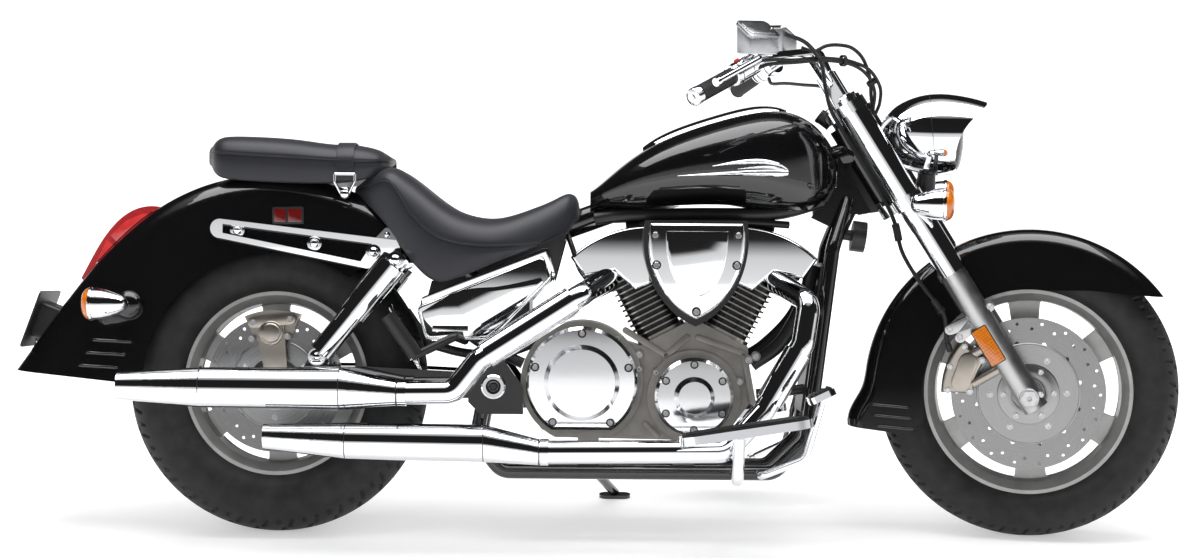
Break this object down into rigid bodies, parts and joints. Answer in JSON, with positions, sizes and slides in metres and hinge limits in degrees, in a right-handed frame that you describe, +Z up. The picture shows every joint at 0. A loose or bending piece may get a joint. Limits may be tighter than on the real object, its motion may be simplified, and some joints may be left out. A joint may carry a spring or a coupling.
{
  "type": "cruiser motorcycle",
  "caption": "Cruiser motorcycle with a V-twin engine, deep fenders, stacked mufflers, floorboards and two seats, leaning on its side stand.",
  "frame": {"origin": "point on the floor under the middle of the machine's bounding box, as it stands on its side stand", "axes": "+X forward, +Y to the rider's left, +Z up"},
  "size_m": [2.5677, 1.017, 1.1836],
  "materials": {
    "black_paint": "gloss",
    "frame_black": "satin",
    "chrome": "polished",
    "satin_aluminium": "satin",
    "engine_grey": "matte",
    "fin_black": "matte",
    "disc_steel": "brushed",
    "tyre": "matte",
    "seat_leather": "satin",
    "grip_rubber": "matte",
    "control_black": "matte",
    "lens_red": "gloss"
  },
  "bodies": {
    "chassis": {"frame_backbone": "frame_black", "frame_cradle_right": "frame_black", "frame_cradle_left": "frame_black", "crankcase": "engine_grey", "cylinder_front": "fin_black", "cylinder_rear": "fin_black", "head_cover_front": "chrome", "head_cover_rear": "chrome", "clutch_cover": "chrome", "crank_cover": "chrome", "left_cover": "chrome", "air_cleaner": "frame_black", "air_cover": "chrome", "radiator": "fin_black", "horn": "frame_black", "exhaust_upper": "chrome", "exhaust_lower": "chrome", "muffler_upper": "chrome", "muffler_lower": "chrome", "fuel_tank": "black_paint", "tank_console": "chrome", "seat_rider": "seat_leather", "seat_pillion": "seat_leather", "rear_fender": "black_paint", "side_covers": "chrome", "under_seat_box": "control_black", "swingarm": "frame_black", "final_drive": "chrome", "rear_axle": "disc_steel", "rear_shocks": "chrome", "fender_struts": "chrome", "rear_caliper": "satin_aluminium", "tail_lamp": "lens_red", "rear_indicators": "chrome", "plate_bracket": "chrome", "floorboards": "disc_steel", "brake_pedal": "disc_steel", "shift_lever": "disc_steel", "passenger_pegs": "disc_steel", "stand_lug": "frame_black"},
    "steering": {"fork_clamps": "chrome", "front_axle": "disc_steel", "fork_sliders": "satin_aluminium", "fork_covers": "chrome", "front_fender": "black_paint", "front_caliper": "satin_aluminium", "handlebar": "chrome", "grips": "grip_rubber", "controls": "control_black", "control_cables": "control_black", "headlight": "chrome", "lamp_bracket": "frame_black", "front_indicators": "chrome"},
    "front_wheel": {"front_tyre": "tyre", "front_rim": "satin_aluminium", "front_disc": "disc_steel"},
    "rear_wheel": {"rear_tyre": "tyre", "rear_rim": "satin_aluminium", "rear_disc": "disc_steel"},
    "side_stand": {"side_stand": "frame_black"}
  },
  "joints": [
    {"name": "steering", "type": "hinge", "parent": "chassis", "child": "steering", "pos_m": [0.58967, -0.04336, 0.8222], "axis": [-0.5307, 0.1327, 0.8371], "range_deg": [-28, 48]},
    {"name": "front_wheel_spin", "type": "hinge", "parent": "steering", "child": "front_wheel", "pos_m": [0.95758, -0.1298, 0.3285], "axis": [0.1473, 0.9871, -0.063], "continuous": true},
    {"name": "rear_wheel_spin", "type": "hinge", "parent": "chassis", "child": "rear_wheel", "pos_m": [-0.71082, -0.12143, 0.3281], "axis": [0.0001, 0.9877, -0.1564], "continuous": true},
    {"name": "side_stand_fold", "type": "hinge", "parent": "chassis", "child": "side_stand", "pos_m": [-0.02063, 0.00079, 0.11597], "axis": [-0.0891, -0.5428, -0.8351], "range_deg": [-100, 0]}
  ]
}
